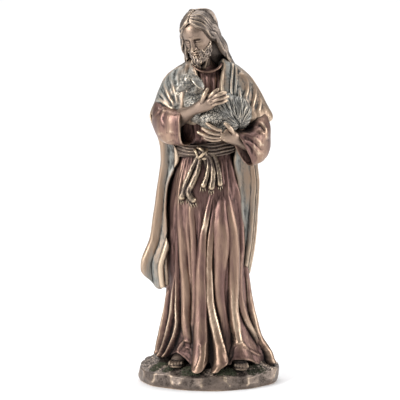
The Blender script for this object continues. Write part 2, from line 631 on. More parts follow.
# Folds as [turn at the top, turn at the hem, half width, rise], in degrees and mm.
MANTLE_FOLDS = [
    [44, 66, 3.4, 2.4], [58, 78, 2.2, 1.6], [70, 92, 4.2, 2.6], [92, 106, 4.4, 3.0],
    [108, 119, 2.2, 1.8], [120, 130, 4.6, 3.6], [140, 149, 4.8, 4.0], [152, 158, 2.0, 1.6],
    [162, 168, 4.8, 4.2], [184, 187, 5.0, 4.2], [196, 198, 2.0, 1.8], [206, 209, 4.8, 4.0],
    [228, 229, 4.8, 4.0], [240, 239, 2.2, 1.8], [252, 249, 5.0, 3.4], [281, 285, 8.0, 4.6],
    [312, 320, 1.7, 2.4],
]


def mantle_section(turn, z):
    left, right, back, front = read(MANTLE, z)
    middle = -3 + ((left + right) / 2 + 3) * step(238 - z, 0, 30)
    wide = np.where(np.sin(turn) > 0, right - middle, middle - left)
    deep = np.where(np.cos(turn) > 0, front, back)
    side, ahead = (np.sign(c) * abs(c) ** 0.86 for c in (np.sin(turn), np.cos(turn)))
    return stack(middle + wide * side, 1 - deep * ahead, z)


def mantle_outward(turn, z):
    z = np.clip(z, MANTLE_HEM_Z, MANTLE_TOP - 2)
    around = mantle_section(turn + 0.02, z) - mantle_section(turn - 0.02, z)
    upward = mantle_section(turn, z + 0.6) - mantle_section(turn, z - 0.6)
    return unit(np.cross(around, upward) * [1, 1, 0.6])


def fold_relief(turn, z):
    down = np.clip((238 - z) / (238 - MANTLE_HEM_Z), 0, 1)
    folds = []
    for top, hem, half, rise in MANTLE_FOLDS:
        there = np.radians(top + (hem - top) * step(down, 0, 0.45))
        folds.append(((turn - there) * 30, half, rise * (0.25 + 0.9 * down)))
    return ridges(folds, 0.4) - 0.6


# %% The fall behind him
EDGE_RIGHT = [
    [66, 60], [80, 56], [93, 52], [109, 47], [128, 41], [147, 34], [168, 30], [180, 36], [190, 64],
    [200, 84], [239, 84],
]
EDGE_LEFT = [
    [66, 326], [84, 328], [98, 322], [112, 314], [144, 305], [172, 319], [190, 290], [200, 276],
    [239, 276],
]
FALL_HEM = [
    [0, 88], [0.12, 81], [0.3, 67], [0.5, MANTLE_HEM_Z], [0.66, 69], [0.72, 80], [0.765, 84.5],
    [0.81, 83], [0.88, 77.5], [0.905, 72], [0.95, 70], [1, 72.5],
]


def fall_surface(share, down, side):
    hem = read(FALL_HEM, share)[0] + 0.6 * np.sin(34 * share) + 0.4 * np.sin(71 * share)
    z = MANTLE_TOP + (hem - MANTLE_TOP) * np.where(down > 0, abs(down) ** 1.15, down)
    start, end = (np.radians(read(edge, z)[0]) for edge in (EDGE_RIGHT, EDGE_LEFT))
    turn = start + (end - start) * share
    relief = fold_relief(turn, z)
    slope = (fold_relief(turn + 0.01, z) - fold_relief(turn - 0.01, z)) / 0.6
    leaning = turn - np.clip(slope, -1.2, 1.2) * 0.9 * step(down, 0.1, 0.5) / 30
    rolled = 0.9 * step(0.03 - np.minimum(share, 1 - share), 0, 0.03) * step(down, 0.3, 0.5)
    out = relief + rolled + (side - 1) / 2 * CLOTH
    return mantle_section(leaning, z) + mantle_outward(turn, z) * out[:, None]


def cloth_grain(places, normals):
    streaks = grain(places * [0.5, 0.5, 0.07], 1.0, 4)
    crumpled = grain(places * [1, 1, 0.4], 4.4, 2)
    return 0.06 * streaks + 0.3 * crumpled + 0.05 * grain(places, 1.3, 6)


piece("mantle_fall", sheet(160, 132, 5, (160, 170), fall_surface), "mantle_verdigris", cloth_grain)

# %% The capes over the arms
# Strokes seen from the front: (half widths, rises, points [x, z]).
LEFT_CAPE_STROKES = [
    ((1.6, 1.2), (1.1, 0.9), [(-29, 232), (-32.4, 225), (-29.8, 215), (-24, 205.6)]),
    ((1.2, 1.0), (0.7, 0.6), [(-37, 217), (-33, 211.8), (-27.6, 206.4)]),
    ((1.8, 1.2), (1.1, 0.9), [(-41, 208.6), (-35, 209.6), (-29, 206), (-24.6, 203.4)]),
    ((0.9, 0.8), (0.5, 0.4), [(-38.6, 213.4), (-33.6, 209.4), (-30, 207.4)]),
    ((1.5, 1.1), (0.8, 0.7), [(-25.6, 233), (-27.6, 226.6), (-25, 217.6), (-22.4, 207)]),
    ((1.4, 1.2), (0.6, 0.5), [(-20.6, 235), (-22.6, 229), (-21.4, 220)]),
    ((1.4, 1.6), (0.5, 0.5), [(-19, 219), (-19.2, 203)]),
    ((0.9, 1.0), (0.9, 0.9), [(-15.8, 220), (-15.2, 203)]),
    ((1.0, 1.2), (0.7, 0.6), [(-15.6, 236), (-17.2, 228), (-17, 221)]),
    ((1.8, 1.6), (0.6, 0.6), [(-34.6, 224), (-37.6, 215.6)]),
    ((1.3, 1.1), (0.9, 0.9), [(-11.6, 234), (-7.5, 228), (-4.8, 221), (-3.4, 213)]),
]
RIGHT_CAPE_STROKES = [
    ((0.8, 0.8), (0.7, 0.7), [(9.6, 236), (9.8, 225), (9.6, 214)]),
    ((2.0, 2.0), (0.4, 0.4), [(12.8, 236), (12.6, 215)]),
    ((0.9, 0.8), (1.4, 1.0), [(17.6, 238), (17, 229.8), (16.2, 217.8), (17, 209)]),
    ((0.8, 0.7), (0.7, 0.6), [(20, 234), (19.9, 224), (19.2, 215)]),
    ((1.6, 1.2), (1.0, 0.9), [(22, 230), (27, 224.4), (28, 217.8), (25.4, 211)]),
    ((1.8, 1.3), (1.3, 1.0), [(23.6, 234.6), (30, 227.6), (33.4, 219), (33.2, 211), (30.6, 202)]),
    ((1.6, 1.3), (1.1, 0.9), [(29, 231.6), (35.4, 221), (38, 210), (35.6, 200)]),
    ((1.3, 1.3), (0.8, 0.8), [(38.6, 215), (41.6, 208), (43.4, 200)]),
    ((1.3, 1.0), (0.8, 0.7), [(25.8, 213), (28.2, 205.8), (25.6, 198)]),
    ((1.2, 1.0), (0.7, 0.7), [(21.4, 220), (22.8, 210), (20, 202)]),
]
LAPEL_RIGHT = [[190, 10], [215, 12.6], [226, 18], [231, 26], [235, 38], [239, 56]]
LAPEL_LEFT = [[190, 346], [215, 353], [226, 350], [235, 338], [239, 325]]


def cape_surface(edges, hem, strokes, outer_edge):
    def surface(share, down, side):
        low = read(hem, share)[0]
        z = MANTLE_TOP + (low - MANTLE_TOP) * np.where(down > 0, abs(down) ** 1.2, down)
        start, end = (np.radians(edge(z)) for edge in edges)
        turn = start + (end - start) * share
        ground = mantle_section(turn, z)
        drawn = brush(ground[:, [0, 2]], strokes, 0.5) * step(abs(np.sin(turn)) - 0.99, 0, -0.06)
        border = share if outer_edge else 1 - share
        tucked = step(border, 0.8, 1)
        rolled = 0.7 * bell(border, 0.0, 0.05) + 0.4 * bell(down, 1.0, 0.05)
        rolled = rolled + 1.8 * outer_edge * bell(down, 1.0, 0.12) * step(np.sin(turn), 0.9, 1)
        depth = CLOTH + 5 * (1 - np.clip(down, 0, 1))
        out = 0.12 * fold_relief(turn, z) + drawn + rolled - tucked + (side - 1) / 2 * depth
        return ground + mantle_outward(turn, z) * out[:, None]

    return surface


right_edges = (lambda z: read(LAPEL_RIGHT, z)[0], lambda z: 102 + 0 * z)
left_edges = (lambda z: 258 + 0 * z, lambda z: read(LAPEL_LEFT, z)[0])
right_hem = [[0, 189], [0.5, 190], [0.76, 194.6], [0.86, 196], [1, 194]]
left_hem = [[0, 193], [0.14, 197.6], [0.5, 198], [1, 194]]
right_cape = cape_surface(right_edges, right_hem, RIGHT_CAPE_STROKES, True)
left_cape = cape_surface(left_edges, left_hem, LEFT_CAPE_STROKES, False)
for name, surface in (("mantle_right_cape", right_cape), ("mantle_left_cape", left_cape)):
    piece(name, sheet(110, 90, 5, (48, 46), surface), "mantle_verdigris", cloth_grain)

# %% [markdown]
# ## The sleeves
# Each sleeve is a wide bell that hangs below the forearm. Its grid runs down the outside, turns round the
# cuff's lip and goes back up inside, so the opening is a real, dark hollow with a wall 1.4 mm thick.

# %% Sleeves
SLEEVE_WALL = 1.4
RIGHT_SLEEVE = [(-20, 2, 226), (-26, 1, 212), (-32, -5, 198), (-27, -17, 191.6), (-16.2, -23.4, 192)]
RIGHT_RINGS = [[0, 6, 6], [0.25, 8, 8], [0.5, 9.4, 11], [0.75, 10, 13], [1, 10.6, 12.8]]
LEFT_SLEEVE = [
    (19, 2, 226), (26, 1, 211), (33, -3, 196), (36, -13, 182.4), (32, -20.6, 177.6), (24, -25, 176.4),
]
LEFT_RINGS = [[0, 6, 6], [0.25, 8, 8], [0.5, 9, 11], [0.75, 9.2, 12.6], [1, 8.8, 13.2]]
RIGHT_SLEEVE_STROKES = [
    ((3.4, 4.0), (0.8, 0.9), [(-38, 201), (-36.6, 193), (-34, 185)]),
    ((3.6, 3.8), (0.9, 0.8), [(-26, 204), (-28, 196), (-27, 187)]),
    ((1.0, 1.2), (0.8, 0.8), [(-35.6, 205), (-40.6, 196)]),
    ((1.0, 1.0), (0.7, 0.6), [(-32, 205), (-34.6, 199), (-33, 193)]),
    ((2.6, 3.2), (0.5, 0.5), [(-31, 188), (-28, 182)]),
]
LEFT_SLEEVE_STROKES = [
    ((1.2, 2.2), (0.9, 0.7), [(27, 189), (34, 186), (40, 177)]),
    ((1.2, 2.4), (0.8, 0.7), [(26.4, 185), (32, 180.5), (36, 171)]),
    ((1.0, 1.4), (0.8, 0.9), [(37, 195), (41.6, 190), (42.6, 182)]),
    ((1.0, 1.2), (0.8, 0.8), [(31, 192), (38, 190.4), (42, 186)]),
]


def sleeve(points, rings, mouth, strokes, lean):
    """A bell sleeve; its cuff is squarish, and its top reaches further than its bottom by lean, in mm."""
    at = route(points)

    def place(u, v):
        turn = TAU * u
        share = np.interp(v, [0, 0.8, 0.84, 1], [0, 1, 1, mouth])
        inward = SLEEVE_WALL * np.interp(v, [0.8, 0.81, 0.83, 0.84], [0, 0.15, 0.85, 1])
        beyond = np.interp(v, [0.8, 0.81, 0.82, 0.83, 0.84], [0, 0.55, 0.75, 0.55, 0])
        closing = np.interp(v, [0, 0.02, 0.05, 0.99, 1], [0, 0.75, 1, 1, 0])
        centre, along = at(share)
        wide, high = read(rings, share)
        across = unit(np.cross(along, [0.0, 0.0, 1.0]))
        rise = np.cross(across, along)
        outward = np.sin(turn)[:, None] * across + np.cos(turn)[:, None] * rise
        power = 1 - 0.34 * step(share, 0.4, 0.9)
        side, top = (np.sign(c) * abs(c) ** power for c in (np.sin(turn), np.cos(turn)))
        skin = centre + (wide * side)[:, None] * across + (high * top)[:, None] * rise
        drawn = brush(skin[:, [0, 2]], strokes) * step(-outward[:, 1], -0.1, 0.3)
        flare = 0.8 * bell(share, 1.0, 0.035)
        lifted = skin + outward * (drawn + flare - inward)[:, None]
        slide = beyond + lean * top * step(share, 0.6, 1) * closing
        return centre + (lifted - centre) * closing[:, None] + along * slide[:, None]

    return grid_mesh(112, 150, place)


right_sleeve = sleeve(RIGHT_SLEEVE, RIGHT_RINGS, 0.82, RIGHT_SLEEVE_STROKES, 0)
left_sleeve = sleeve(LEFT_SLEEVE, LEFT_RINGS, 0.84, LEFT_SLEEVE_STROKES, 5)
piece("right_sleeve", right_sleeve, "robe_bronze", robe_grain)
piece("left_sleeve", left_sleeve, "robe_bronze", robe_grain)

# %% [markdown]
# ## The sash
# A long scarf is wound round the waist, tied, and its two ends hang down in pleats with frayed tips. The
# band is one ring whose section has a rounded ridge for each turn of cloth. The tails are rolls of cloth
# laid on the skirt: a ray from the front finds where the skirt is, and the rolls are then melted together
# with a voxel remesh, which leaves the soft seams of modelled wax.

# %% The band
def band_place(u, v):
    turn, around = TAU * u, TAU * v
    cx, cy, wide, deep = read(ROBE, 0 * turn + WAIST_Z)
    across = np.sin(around)
    wrap = (across + 1) * (1.7 + 0.3 * np.sin(turn + 1))
    wrap = wrap + 0.4 * np.sin(2 * turn + 0.6) + 0.16 * np.sin(7 * turn)
    ridge = abs(np.sin(np.pi * wrap)) ** 0.7
    outer = np.cos(around) ** 0.35 * (1.3 + 0.9 * ridge)
    out = 0.4 + np.where(np.cos(around) > 0, outer, 2.4 * np.cos(around))
    z = WAIST_Z + 3.8 + 1.6 * np.sin(turn) + (4.9 + 0.5 * np.sin(3 * turn)) * across
    return stack(cx + (wide + out) * np.sin(turn), cy - (deep + out) * np.cos(turn), z)


def cord_grain(places, normals):
    return 0.14 * grain(places * [1, 1, 0.2], 0.8, 3)


def sash_grain(places, normals):
    threads = grain(places * [1, 1, 0.35], 0.7, 3)
    return 0.1 * threads + 0.08 * grain(places, 1.6, 5)


piece("sash_band", grid_mesh(190, 64, band_place), "sash_bronze", sash_grain)

# %% The knot and the tails
robe_tree = tree_of(robe)
TO_BACK = (0, 1, 0)


def laid(line, lift):
    """Points [x, z] on the robe's front, lifted off it by so many millimetres."""
    return [(x, met(robe_tree, (x, -80, z), TO_BACK).y / MM - RECENTRED[1] - lift, z) for x, z in line]


def roll(line, thick, lift, flat=1.0, levels=40):
    rings = [[share, size * flat, size] for share, size in zip((0, 0.5, 1), thick)]
    return limb(laid(line, lift), rings, 16, levels, up=(0, -1, 0))


left_tail = [
    roll(
        [(-7, 170.5), (-8.8, 167), (-12.5, 159.7), (-16.8, 149), (-18.6, 142), (-20.8, 137)],
        (1.6, 2.0, 2.8),
        2.0,
    ),
    roll(
        [(-6.4, 169), (-7, 164), (-8.8, 157), (-13, 147.6), (-15, 143.4), (-13.4, 139.4), (-9.6, 136.2)],
        (1.4, 2.3, 2.2),
        2.1,
    ),
    roll([(-7, 168), (-10.6, 158), (-14.6, 149.5), (-16.4, 141)], (1.1, 1.3, 1.2), 0.7, 3),
    roll([(-14, 143), (-13.4, 138), (-12.4, 133.6)], (1.0, 0.9, 0.7), 0.5, 2.6, 20),
]
right_tail = [
    roll([(-2.6, 170), (-0.4, 166), (-0.8, 158), (-2.9, 150.4), (-4.8, 146.4)], (1.3, 1.6, 2.2), 1.9),
    roll([(-3, 171.4), (0.8, 168), (2.4, 163), (3, 154), (1.4, 144.6)], (1.4, 1.9, 2.5), 2.2),
    roll([(-2.6, 172.6), (3.4, 169.6), (6.6, 160), (8.3, 147)], (1.4, 1.8, 2.3), 1.9),
    roll([(-1.4, 169), (0.8, 160), (0, 149)], (1.1, 1.2, 1.2), 0.7, 3.0),
    roll([(0, 169.4), (4.6, 160), (5.2, 148.4)], (1.1, 1.2, 1.2), 0.7, 3.2),
]
# Frayed tips as (x, z, how far the tip leans aside).
FRAYED = [
    (-21.6, 138, -1.2), (-20.4, 137.4, 0.2), (-19.2, 138, 1), (-15.8, 138.4, -0.8), (-14.4, 136.4, 0),
    (-13, 135.6, 0.8), (-11.6, 136, 1.6), (-10.2, 136.6, 2), (-5.6, 147.4, -1), (-4.4, 147, 0.2),
    (-3, 147.6, 1), (0.4, 145.6, -0.6), (1.6, 145, 0.4), (2.8, 145.8, 1), (7.2, 148, -0.6),
    (8.4, 147.6, 0.4), (9.4, 148.4, 1.2),
]
frayed = [
    roll([(x, z), (x + 0.4 * lean, z - 2.4), (x + lean, z - 4.6)], (0.5, 0.42, 0.2), 0.9, 1.0, 14)
    for x, z, lean in FRAYED
]
KNOT_BANDS = [
    (
        [(-10.4, -18.4, 175.4), (-9.2, -21.2, 173.4), (-7.8, -21.8, 170), (-6.2, -20.2, 167.4)],
        [[0, 1.4, 1.1], [1, 1.3, 1.1]],
    ),
    (
        [(-8.6, -19.6, 176.6), (-5.4, -22.4, 175.4), (-2.8, -21.8, 172), (-3.4, -20, 168)],
        [[0, 1.3, 1.1], [0.5, 1.8, 1.2], [1, 1.2, 1]],
    ),
    (
        [(-8, -20.4, 168.4), (-5.6, -23, 170.4), (-3.2, -22.6, 173.4), (-1, -19.6, 175)],
        [[0, 1.2, 1], [0.5, 1.7, 1.3], [1, 1.2, 1]],
    ),
]
knot = [limb(*band) for band in KNOT_BANDS]
knot += [lump((-5.6, -20.2, 171.6), (3.8, 2.7, 4.2)), lump((-3.6, -21.4, 168.6), (1.9, 1.4, 1.6))]
tails_mesh = fused(left_tail + right_tail + frayed + knot, 0.36, 2)
piece("sash_tails", tails_mesh, "sash_bronze", cord_grain)

# %% [markdown]
# ## Arms and hands
# His right hand lies over the lamb's back and his left hand carries it from below. A finger is a short limb
# that swells at the knuckles, with a small nail near its tip. Fingers, palm and forearm are melted together,
# so the skin runs on without seams, and the fingers stay apart where there is air between them.

# %% Hands
def finger(points, thick):
    rings = [
        [0, thick * 1.02, thick],
        [0.3, thick * 0.94, thick * 0.9],
        [0.5, thick * 1.08, thick * 1.04],
        [0.76, thick * 0.9, thick * 0.86],
        [1, thick * 0.72, thick * 0.66],
    ]
    tip, before = np.array(points[-1], float), np.array(points[-2], float)
    nail = tip + 0.34 * (before - tip) + [0, -thick * 0.62, thick * 0.25]
    nail_size = (thick * 0.62, thick * 0.3, thick * 0.55)
    return [limb(points, rings, 16, 26), lump(nail, nail_size, around=12, levels=8)]


def skin_grain(places, normals):
    return 0.05 * grain(places, 1.6, 2) + 0.03 * grain(places, 0.7, 6)


def hand(arm, arm_rings, fingers, tendons):
    """A forearm and palm in one limb, the fingers, and the tendons on the back of the hand."""
    parts = [limb(arm, arm_rings, 32, 60, (0, -1, 0.1))]
    for thick, *points in fingers:
        parts += finger(points, thick)
    parts += [limb(line, [[0, 0.3, 0.3], [1, 0.9, 0.8]], 10, 14) for line in tendons]
    return fused(parts, 0.4, 4)


RIGHT_ARM = [
    (-29, -11, 192), (-20.5, -22.4, 199), (-12, -33, 205.6), (-4.5, -39.6, 210.4), (0.6, -41.2, 213.6),
    (4, -41.6, 215.6),
]
RIGHT_ARM_RINGS = [
    [0, 6.8, 6.6], [0.4, 5.6, 5.4], [0.62, 3.9, 3.6], [0.74, 4.4, 3.1], [0.88, 5.4, 2.5], [1, 4.8, 1.9],
]
# Each finger is its thickness and its joints, from the first finger to the thumb.
RIGHT_FINGERS = [
    (1.6, (-0.4, -42, 216.6), (2.6, -43.8, 219.6), (5, -43.6, 221.6), (7.2, -42, 223.4)),
    (1.66, (2, -42.6, 216), (5.8, -44.6, 218.6), (9.4, -44, 219.9), (13, -41.6, 220.4)),
    (1.62, (2.4, -42.6, 213.6), (6.4, -44.4, 215.8), (10.4, -43.6, 216.9), (14.8, -40.6, 217.4)),
    (1.5, (1.8, -42, 210.8), (6, -43.4, 212.6), (10, -42.4, 213.6), (13.8, -39.6, 214.3)),
    (1.7, (-5.4, -40.6, 212.4), (-4, -42.8, 217), (-2.4, -43.2, 220.6), (-0.6, -41.9, 223.8)),
]
RIGHT_TENDONS = [
    [(-3, -42.2, 211.4), (0.5, -43.4, 214 + k), (4 + 0.4 * k, -43.6, 215.6 + 1.6 * k)]
    for k in (-1.4, 0, 1.2)
]
LEFT_ARM = [(34, -14, 177), (28, -22, 179.4), (21, -30.6, 183.4), (15.4, -35.8, 187), (9.4, -38.2, 189)]
LEFT_ARM_RINGS = [
    [0, 6, 5.6], [0.4, 4.6, 4.2], [0.56, 3.9, 3.2], [0.72, 4.9, 2.7], [0.9, 4.8, 2.3], [1, 4.2, 1.9],
]
LEFT_FINGERS = [
    (1.5, (9.6, -38.4, 191.6), (5.4, -40.2, 193), (1.6, -40.2, 195.2), (-2.4, -38.8, 197.6)),
    (1.56, (8.6, -38.8, 189.2), (3.6, -40.6, 190), (-1, -40.4, 191.8), (-5.6, -38.6, 194)),
    (1.5, (8.4, -38, 186.8), (2.8, -39.6, 187), (-2.8, -39, 188.4), (-8.8, -37, 190.8)),
    (1.4, (9, -37, 185.2), (4.4, -38, 184.6), (0.2, -37.6, 185), (-4, -36, 186.6)),
    (1.7, (18.4, -34.6, 187.6), (17, -38, 191.2), (14.4, -39.6, 194.8), (10.8, -39.9, 198.2)),
]
LEFT_TENDONS = [
    [(17, -37, 186), (12, -39, 187.6 + 0.5 * k), (8, -40, 188.6 + 1.5 * k)]
    for k in (-1.3, 0, 1.3)
]
right_hand = hand(RIGHT_ARM, RIGHT_ARM_RINGS, RIGHT_FINGERS, RIGHT_TENDONS)
left_hand = hand(LEFT_ARM, LEFT_ARM_RINGS, LEFT_FINGERS, LEFT_TENDONS)
piece("right_hand", right_hand, "skin_bronze", skin_grain)
piece("left_hand", left_hand, "skin_bronze", skin_grain)

# %% [markdown]
# ## The lamb
# The lamb lies across his chest with its head by his right shoulder. Its body, legs, neck and head are
# lumps and limbs melted into one skin. The wool is then raised on that skin: each cell of a Voronoi pattern
# becomes one curl, a spiral ridge round the cell's centre. On its back the wool is long, so there the
# curls give way to combed streaks.

# %% Lamb's forms
MUZZLE = np.array((-24.4, -35.6, 220))
LAMB_NECK = [(-8, -26, 217), (-12.5, -29.5, 226), (-18, -33, 224.2), (-23.4, -35.4, 220.2)]
LAMB_NECK_RINGS = [[0, 6.5, 7], [0.35, 5.8, 6], [0.62, 4.2, 4.6], [0.85, 2.7, 3.1], [1, 1.9, 2.2]]
lamb_parts = [
    lump((7, -23.5, 204), (18.6, 12.8, 13.2), (0, -8, 0), 48, 32),
    lump((-9, -24, 208), (8.4, 10.6, 13.2), (0, -14, 0), 32, 24),
    lump((20.4, -22.4, 202), (11, 10.4, 12.4), (0, 0, 0), 40, 28),
    lump((2.4, -32.4, 200.6), (8.6, 6.4, 6.2), (0, -10, 0), 32, 24),
    lump((14, -28, 196), (8, 7.6, 7.4), (0, 10, 0), 32, 24),
    limb(LAMB_NECK, LAMB_NECK_RINGS, 28, 40),
    lump((-14.4, -30.8, 227.6), (5, 4.6, 4.8)),
    lump((-17.4, -35, 226), (1.5, 1.0, 1.1)),
    lump((-15.4, -34, 228.6), (2.6, 2.2, 2.2)),
    lump((-22.6, -36.4, 218.8), (2.1, 1.9, 1.4)),
]
EAR_RINGS = [[0, 1.4, 1.0], [0.3, 2.6, 1.0], [0.6, 2.9, 0.9], [0.85, 1.9, 0.8], [1, 0.8, 0.5]]
NEAR_EAR = [(-12.4, -34, 229.8), (-9.4, -36.6, 228), (-6.4, -37, 225), (-3.8, -36.2, 221.8)]
FAR_EAR = [(-15, -26, 229.6), (-18.4, -24.6, 229), (-21, -24, 227)]
ears = [
    limb(NEAR_EAR, EAR_RINGS, 24, 30, (0.3, -0.8, 0.5)),
    limb(FAR_EAR, EAR_RINGS, 24, 30, (-0.4, -0.5, 0.7)),
]
WOOL_ENDS = np.array((23, -33, 193.6))  # where the long wool of the back runs together


def curls(places, normals, spacing, pitch, height):
    """One spiral ridge for each cell of a Voronoi pattern."""
    scaled = places / spacing
    nearest = np.array([noise.voronoi(p)[1][0] for p in scaled.tolist()])
    away = (scaled - nearest) * spacing
    sideways = unit(np.cross(normals, [0.1, 0.2, 1]))
    upwards = np.cross(normals, sideways)
    flat_x, flat_y = (away * sideways).sum(-1), (away * upwards).sum(-1)
    radius = np.hypot(flat_x, flat_y)
    spiral = np.cos(TAU * radius / pitch + np.arctan2(flat_y, flat_x))
    dome = np.clip(1 - (radius / spacing) ** 2 * 1.6, -0.6, 1)
    return height * (dome + 0.42 * spiral)


def wool(places, normals):
    x, y, z = places.T
    along = np.array((-14, -31, 227)) - MUZZLE
    to_brow = ((places - MUZZLE) @ along) / (along @ along)
    head = (1 - step(x, -9, -5)) * step(z, 213, 217)
    face = head * (1 - step(to_brow, 0.3, 0.62))
    back = step(x + 0.4 * (z - 200), 9, 15)
    away = places - WOOL_ENDS
    bearing = np.arctan2(away[:, 0], away[:, 2])
    reach = np.linalg.norm(away, axis=-1)
    combed = 0.7 * grain(stack(bearing * 11, reach / 9, y / 9), 1.0, 1)
    combed = combed + 0.6 * grain(stack(bearing * 26, reach / 5, y / 6), 1.0, 2)
    loose = curls(places, normals, 2.9, 1.05, 0.62)
    tight = curls(places, normals, 1.9, 0.85, 0.42)
    fur = 0.12 * grain(places, 0.9, 4) + 0.07 * grain(places, 0.5, 5)
    coat = loose * (1 - back) + combed * back
    return face * fur + (head - face) * tight + (1 - head) * coat


def ear_grain(places, normals):
    return 0.1 * grain(places, 0.8, 3)


piece("lamb", fused(lamb_parts, 0.4, 5), "fleece_patina", wool)
piece("lamb_ears", fused(ears, 0.3, 3), "fleece_patina", ear_grain)

# %% [markdown]
# ## Feet in sandals
# Only the front of each foot shows under the hem: five toes on a thin sole, with a strap over them.

# %% Feet
TOES = [(1.6, 1.35), (1.8, 1.1), (1.2, 1.05), (0.4, 1.0), (-0.8, 0.95)]  # (reach past the foot, thickness)
TOE_SPACING = 2.1


def foot(heel, toe):
    heel, toe = np.array(heel, float), np.array(toe, float)
    ahead = unit(toe - heel)
    aside = unit(np.cross(ahead, (0, 0, 1)))
    up = np.array((0, 0, 1.0))
    instep = [heel + 4 * up, heel + 9 * ahead + 4.4 * up, toe - 4 * ahead + 2.2 * up]
    sole = [heel, (heel + toe) / 2, toe + 2.4 * ahead]
    strap = [
        toe - 5 * ahead - 5.6 * aside + 1 * up,
        toe - 4.6 * ahead + 4.4 * up,
        toe - 5 * ahead + 5.6 * aside + 1 * up,
    ]
    parts = [
        limb(instep, [[0, 4.6, 4.4], [0.6, 5, 3.4], [1, 5, 2.2]], 24, 24),
        limb(sole, [[0, 5, 1.1], [0.6, 5.8, 1.1], [1, 4.4, 1.1]], 24, 20),
        limb(strap, [[0, 1.2, 0.8], [1, 1.2, 0.8]], 14, 24),
    ]
    inner = 1 if toe[0] < 0 else -1
    for k, (reach, thick) in enumerate(TOES):
        root = toe + aside * (2 * TOE_SPACING - TOE_SPACING * k) * inner
        line = [root - 5 * ahead + 2.4 * up, root - 1.5 * ahead + 2.8 * up, root + reach * ahead + 1.3 * up]
        parts.append(limb(line, [[0, thick, thick], [1, thick * 1.05, thick * 0.9]], 14, 16))
    return parts


feet_parts = foot((-20, -16, GROUND - 1), (-24.4, -33, GROUND - 1.2))
feet_parts += foot((21, -18, GROUND - 1), (23.8, -36, GROUND - 2.4))
piece("feet", fused(feet_parts, 0.5, 2), "skin_bronze", skin_grain)

# %% [markdown]
# ## The head
# The head is modelled upright, facing -Y, and is then turned down towards the lamb. The face is a calm,
# general one on the proportions that drawing books give: the eyes at half the head's height, the brow, the
# underside of the nose and the chin a third of the face apart, and five eye widths across. Its features are
# soft bells added to a smooth skull, with the lids lowered.

# %% Head frame and skull
HEAD_CENTRE = np.array((-8, -8, 257.5))
HEAD_TURN = np.array(Euler(np.radians((20, -7, -24))).to_matrix())
# Stations are [z, half width, depth in front, depth behind].
HEAD = [
    [-16, 3.4, 9, 0], [-14.5, 5.6, 11.4, 2], [-11, 7.2, 12, 4], [-7, 8.8, 12.3, 6.5], [-2, 10, 12, 9.8],
    [3, 10.4, 12.6, 12], [8, 10, 12, 12.8], [12, 8, 9.4, 10.5], [15, 4.2, 5, 6], [16, 2, 2, 3],
]
EYE_X = 4.2
NOSE_RISE = [
    [-7, 0, 1.8], [-6.2, 0.6, 2.1], [-5.4, 2.6, 1.9], [-4.4, 3.2, 1.7], [-2.8, 2.4, 1.5], [0, 1.4, 1.5],
    [2.2, 0.7, 1.8], [4.4, 0, 2.4],
]


def on_head(points):
    return np.asarray(points, float) @ HEAD_TURN.T + HEAD_CENTRE


def spot(x, z, at_x, at_z, half_x, half_z):
    return np.exp(-(((x - at_x) / half_x) ** 2) - ((z - at_z) / half_z) ** 2)


def face_relief(x, z):
    side = abs(x)
    rise, wide = read(NOSE_RISE, z)
    nose = rise * np.exp(-((x / wide) ** 2)) + 1.1 * spot(side, z, 1.75, -4.9, 0.75, 0.8)
    nostril = -0.5 * spot(side, z, 0.9, -5.9, 0.5, 0.35) - 0.35 * spot(side, z, 2.6, -4.6, 0.35, 1.0)
    socket = -1.1 * spot(side, z, EYE_X - 0.3, 0.3, 2.9, 2.1) - 0.4 * spot(side, z, 2.2, 0.6, 0.9, 1.5)
    lid = 0.95 * spot(side, z, EYE_X, -0.2, 1.8, 1.1)
    arc = 0.1 * (side - EYE_X) ** 2
    crease = -0.18 * bell(z + arc, 1.15, 0.3) * bell(side, EYE_X, 2.0)
    lash = -0.42 * bell(z - arc, -1.0, 0.24) * bell(side, EYE_X, 1.9)
    pouch = 0.3 * bell(z - arc, -1.6, 0.4) * bell(side, EYE_X, 1.8)
    brow = 0.4 * bell(z + 0.05 * (side - 3.6) ** 2, 3.0, 1.1) * bell(side, 4.2, 3.4)
    cheek = 0.8 * spot(side, z, 6.4, -2.6, 2.6, 2.2) - 0.5 * spot(side, z, 6.2, -7, 2.2, 2.4)
    furrow = -0.3 * bell(side - 0.35 * (-5 - z), 2.9, 0.45) * bell(z, -6.4, 1.6)
    mouth = -0.6 * bell(z - 0.02 * x * x, -9, 0.3) * bell(x, 0, 2.9)
    upper_lip = 0.6 * bell(z + 0.05 * abs(side - 0.9), -8.35, 0.45) * bell(x, 0, 2.4)
    lips = upper_lip + 0.8 * spot(x, z, 0, -9.85, 2, 0.6)
    philtrum = -0.3 * spot(x, z, 0, -7.2, 0.45, 0.7)
    chin = -0.5 * spot(x, z, 0, -11.2, 2.2, 0.7) + 0.9 * spot(x, z, 0, -13.4, 2.6, 1.6)
    temple = -0.5 * spot(side, z, 9.2, 4, 1.8, 3)
    around_eye = (lid, crease, lash, pouch, brow)
    return sum((nose, nostril, socket, *around_eye, cheek, furrow, mouth, lips, philtrum, chin, temple))


def skull_place(u, v):
    even = TAU * (u - 0.5)
    turn = even - 0.5 * np.sin(even)
    tilt = np.pi * v
    z = -16 * np.cos(tilt)
    closing = np.minimum(np.sin(tilt) * 20, 1)
    wide, front, back = (size * closing for size in read(HEAD, z))
    x = wide * np.sin(turn)
    depth = np.where(np.cos(turn) > 0, front, back)
    y = -depth * np.cos(turn) - face_relief(x, z) * step(np.cos(turn), 0, 0.4) * closing
    return on_head(stack(x, y, z))


def face_grain(places, normals):
    return 0.03 * grain(places, 1.2)


